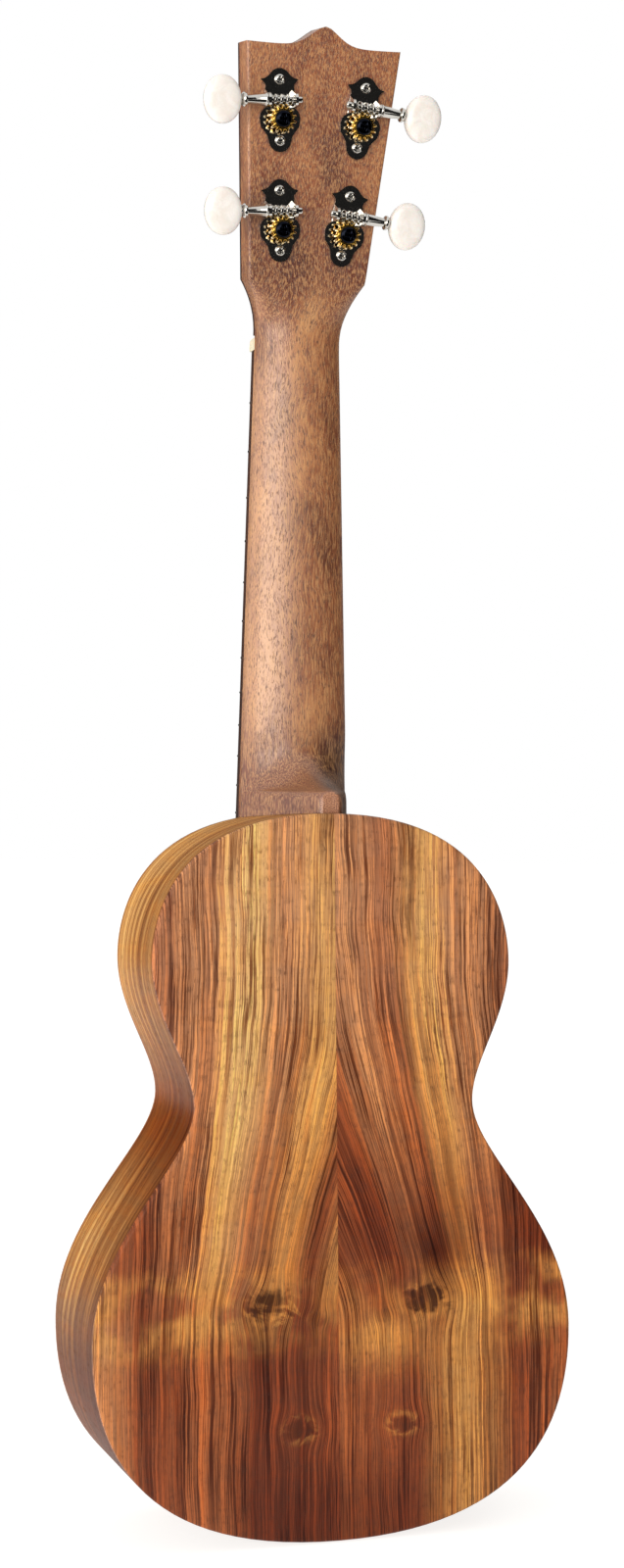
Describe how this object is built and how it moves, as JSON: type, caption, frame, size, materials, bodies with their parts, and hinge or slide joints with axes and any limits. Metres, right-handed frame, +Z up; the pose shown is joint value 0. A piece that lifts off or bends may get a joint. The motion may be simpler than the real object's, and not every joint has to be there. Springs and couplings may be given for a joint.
{
  "type": "ukulele",
  "caption": "Concert ukulele with a bookmatched tapered hollow body, carved neck with slim heel, tilted headstock and open-gear tuning machines with oval buttons.",
  "frame": {"origin": "centre of the bounding box at the lowest point of the tail", "axes": "+Z up along the strings towards the headstock, -Y out of the soundboard, +Y out of the back, X across the body"},
  "size_m": [0.194, 0.0826, 0.5969],
  "materials": {
    "koa": "satin",
    "koa_side": "satin",
    "mahogany": "satin",
    "rosewood": "satin",
    "spruce": "matte",
    "nickel": "polished",
    "brass": "polished",
    "black_screw": "satin",
    "pearl": "gloss",
    "bone": "satin",
    "nylon": "gloss"
  },
  "bodies": {
    "body_and_neck": {"soundboard": "koa", "back_left": "koa", "back_right": "koa", "side_left": "koa_side", "side_right": "koa_side", "neck_block": "mahogany", "tail_block": "mahogany", "top_lining_left": "spruce", "top_lining_right": "spruce", "back_lining_left": "spruce", "back_lining_right": "spruce", "top_brace": "spruce", "back_brace_upper": "spruce", "back_brace_lower": "spruce", "neck": "mahogany", "headplate": "rosewood", "fingerboard": "rosewood", "nut": "bone", "bridge": "rosewood", "saddle": "bone", "string_g": "nylon", "string_c": "nylon", "string_e": "nylon", "string_a": "nylon", "tuner_plate_g": "nickel", "post_bushing_g": "nickel", "plate_screw_top_g": "nickel", "plate_screw_low_g": "nickel", "tuner_plate_c": "nickel", "post_bushing_c": "nickel", "plate_screw_top_c": "nickel", "plate_screw_low_c": "nickel", "tuner_plate_e": "nickel", "post_bushing_e": "nickel", "plate_screw_top_e": "nickel", "plate_screw_low_e": "nickel", "tuner_plate_a": "nickel", "post_bushing_a": "nickel", "plate_screw_top_a": "nickel", "plate_screw_low_a": "nickel"},
    "worm_g": {"tuner_worm_g": "nickel", "tuner_button_g": "pearl"},
    "post_g": {"tuner_post_g": "nickel", "tuner_gear_g": "brass", "gear_screw_g": "black_screw"},
    "worm_c": {"tuner_worm_c": "nickel", "tuner_button_c": "pearl"},
    "post_c": {"tuner_post_c": "nickel", "tuner_gear_c": "brass", "gear_screw_c": "black_screw"},
    "worm_e": {"tuner_worm_e": "nickel", "tuner_button_e": "pearl"},
    "post_e": {"tuner_post_e": "nickel", "tuner_gear_e": "brass", "gear_screw_e": "black_screw"},
    "worm_a": {"tuner_worm_a": "nickel", "tuner_button_a": "pearl"},
    "post_a": {"tuner_post_a": "nickel", "tuner_gear_a": "brass", "gear_screw_a": "black_screw"}
  },
  "joints": [
    {"name": "worm_g_spin", "type": "hinge", "parent": "body_and_neck", "child": "worm_g", "pos_m": [-0.01435, -0.00411, 0.52149], "axis": [-0.9967, -0.0169, -0.0793], "continuous": true},
    {"name": "post_g_spin", "type": "hinge", "parent": "body_and_neck", "child": "post_g", "pos_m": [-0.01375, -0.00565, 0.51428], "axis": [0, 0.978, -0.2086], "continuous": true},
    {"name": "worm_c_spin", "type": "hinge", "parent": "body_and_neck", "child": "worm_c", "pos_m": [-0.0176, 0.00486, 0.56355], "axis": [-0.9967, -0.0169, -0.0793], "continuous": true},
    {"name": "post_c_spin", "type": "hinge", "parent": "body_and_neck", "child": "post_c", "pos_m": [-0.017, 0.00332, 0.55633], "axis": [0, 0.978, -0.2086], "continuous": true},
    {"name": "worm_e_spin", "type": "hinge", "parent": "body_and_neck", "child": "worm_e", "pos_m": [0.0176, 0.00486, 0.56355], "axis": [0.9967, -0.0169, -0.0793], "continuous": true},
    {"name": "post_e_spin", "type": "hinge", "parent": "body_and_neck", "child": "post_e", "pos_m": [0.017, 0.00332, 0.55633], "axis": [0, 0.978, -0.2086], "continuous": true},
    {"name": "worm_a_spin", "type": "hinge", "parent": "body_and_neck", "child": "worm_a", "pos_m": [0.01435, -0.00411, 0.52149], "axis": [0.9967, -0.0169, -0.0793], "continuous": true},
    {"name": "post_a_spin", "type": "hinge", "parent": "body_and_neck", "child": "post_a", "pos_m": [0.01375, -0.00565, 0.51428], "axis": [0, 0.978, -0.2086], "continuous": true}
  ],
  "couplings": [
    {"joint": "post_g_spin", "follows": "worm_g_spin", "ratio": 0.071429},
    {"joint": "post_c_spin", "follows": "worm_c_spin", "ratio": 0.071429},
    {"joint": "post_e_spin", "follows": "worm_e_spin", "ratio": 0.071429},
    {"joint": "post_a_spin", "follows": "worm_a_spin", "ratio": 0.071429}
  ]
}
